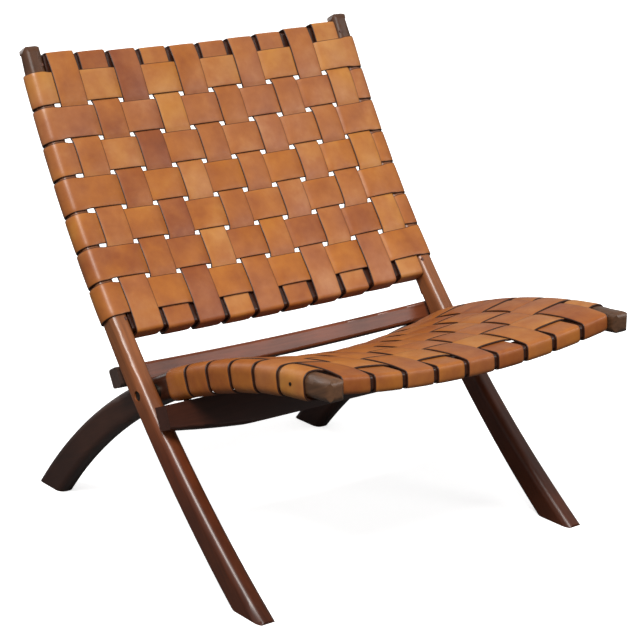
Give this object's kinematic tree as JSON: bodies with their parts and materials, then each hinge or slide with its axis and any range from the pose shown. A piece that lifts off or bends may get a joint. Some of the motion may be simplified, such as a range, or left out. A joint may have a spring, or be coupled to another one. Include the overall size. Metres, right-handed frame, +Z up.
{
  "type": "folding lounge chair",
  "caption": "Folding lounge chair: two curved wooden frames crossed on one pivot line, with a leather strap weave on the low seat and the reclined back.",
  "frame": {"origin": "on the floor, at the centre of the chair's bounding box", "axes": "+X to the right of the chair seen from its front, +Y from the front of the seat to its back, +Z up"},
  "size_m": [0.6264, 0.7938, 0.7295],
  "materials": {
    "frame_wood": "dark walnut stain under satin lacquer",
    "peg_wood": "dark hardwood, oiled",
    "strap_leather": "tan vegetable-tanned leather, waxed",
    "dark_steel": "blackened steel"
  },
  "bodies": {
    "back_frame": {"left_stile": "frame_wood", "right_stile": "frame_wood", "top_rail": "frame_wood", "lower_back_rail": "frame_wood", "back_pegs": "peg_wood", "back_tacks": "dark_steel", "left_pivot_bolt": "dark_steel", "right_pivot_bolt": "dark_steel", "left_pivot_nut": "dark_steel", "right_pivot_nut": "dark_steel", "left_spacer": "dark_steel", "right_spacer": "dark_steel", "back_column_1": "strap_leather", "back_column_2": "strap_leather", "back_column_3": "strap_leather", "back_column_4": "strap_leather", "back_column_5": "strap_leather", "back_column_6": "strap_leather", "back_column_7": "strap_leather", "back_column_8": "strap_leather", "back_column_9": "strap_leather", "back_column_10": "strap_leather", "back_row_1": "strap_leather", "back_row_2": "strap_leather", "back_row_3": "strap_leather", "back_row_4": "strap_leather", "back_row_5": "strap_leather", "back_row_6": "strap_leather", "back_row_7": "strap_leather"},
    "seat_frame": {"left_side_piece": "frame_wood", "right_side_piece": "frame_wood", "front_seat_rail": "frame_wood", "rear_seat_rail": "frame_wood", "rear_stop_bar": "frame_wood", "front_stop_bar": "frame_wood", "stop_bar_dowels": "peg_wood", "seat_tacks": "dark_steel", "seat_column_1": "strap_leather", "seat_column_2": "strap_leather", "seat_column_3": "strap_leather", "seat_column_4": "strap_leather", "seat_column_5": "strap_leather", "seat_column_6": "strap_leather", "seat_column_7": "strap_leather", "seat_column_8": "strap_leather", "seat_column_9": "strap_leather", "seat_row_1": "strap_leather", "seat_row_2": "strap_leather", "seat_row_3": "strap_leather", "seat_row_4": "strap_leather", "seat_row_5": "strap_leather", "seat_row_6": "strap_leather"}
  },
  "joints": [
    {"name": "seat_fold", "type": "hinge", "parent": "back_frame", "child": "seat_frame", "pos_m": [0, 0.02442, 0.25399], "axis": [-1, 0, 0], "range_deg": [0, 83]}
  ]
}
